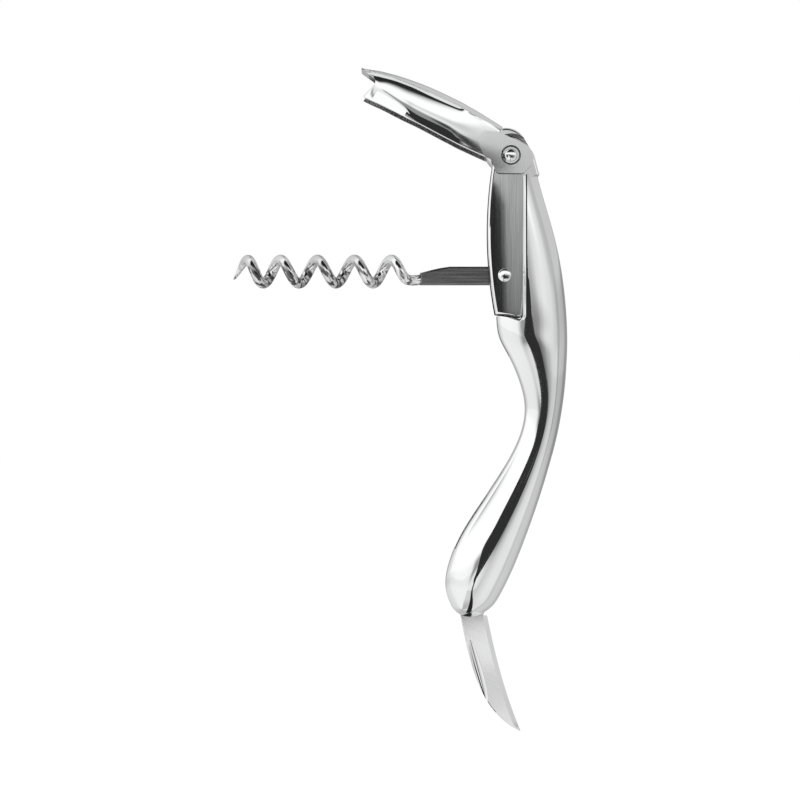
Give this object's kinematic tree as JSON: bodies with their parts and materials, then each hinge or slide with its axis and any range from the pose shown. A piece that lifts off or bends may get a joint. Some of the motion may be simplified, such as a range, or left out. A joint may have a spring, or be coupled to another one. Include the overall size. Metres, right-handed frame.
{
  "type": "folding lever corkscrew",
  "caption": "Folding lever corkscrew with an S-curved steel handle, a hinged lever notched for a bottle's lip, a fold-out worm and a small curved foil knife.",
  "frame": {"origin": "middle of the box round the open tool", "axes": "+X from the worm's point to the handle's back, +Y across the tool away from the picture's camera, +Z from the knife's point up to the lever"},
  "size_m": [0.0837, 0.0148, 0.1651],
  "materials": {
    "polished_steel": "mirror polish",
    "brushed_steel": "brushed along the frame's length",
    "forged_steel": "dark ground shank, polished wire",
    "satin_steel": "satin",
    "blade_steel": "satin flat with a brighter ground edge"
  },
  "bodies": {
    "handle": {"handle": "polished_steel", "frame": "brushed_steel", "frame_screw_upper": "satin_steel", "frame_screw_lower": "satin_steel", "worm_rivet": "polished_steel", "worm_spacer_near": "satin_steel", "worm_spacer_far": "satin_steel", "knife_pin": "polished_steel", "knife_washer_near": "satin_steel", "knife_washer_far": "satin_steel"},
    "lever": {"lever": "polished_steel", "lever_pin": "polished_steel", "lever_washer_near": "satin_steel", "lever_washer_far": "satin_steel"},
    "worm": {"worm": "forged_steel"},
    "knife": {"knife": "blade_steel"}
  },
  "joints": [
    {"name": "lever_hinge", "type": "hinge", "parent": "handle", "child": "lever", "pos_m": [0.0275, 0, 0.0607], "axis": [0, -1, 0], "range_deg": [0, 112]},
    {"name": "worm_hinge", "type": "hinge", "parent": "handle", "child": "worm", "pos_m": [0.026, 0, 0.031], "axis": [0, -1, 0], "range_deg": [0, 86]},
    {"name": "knife_hinge", "type": "hinge", "parent": "handle", "child": "knife", "pos_m": [0.02, 0, -0.04742], "axis": [0, -1, 0], "range_deg": [0, 140]}
  ],
  "couplings": [
    {"joint": "worm_hinge", "follows": "lever_hinge", "ratio": 0.7678}
  ]
}
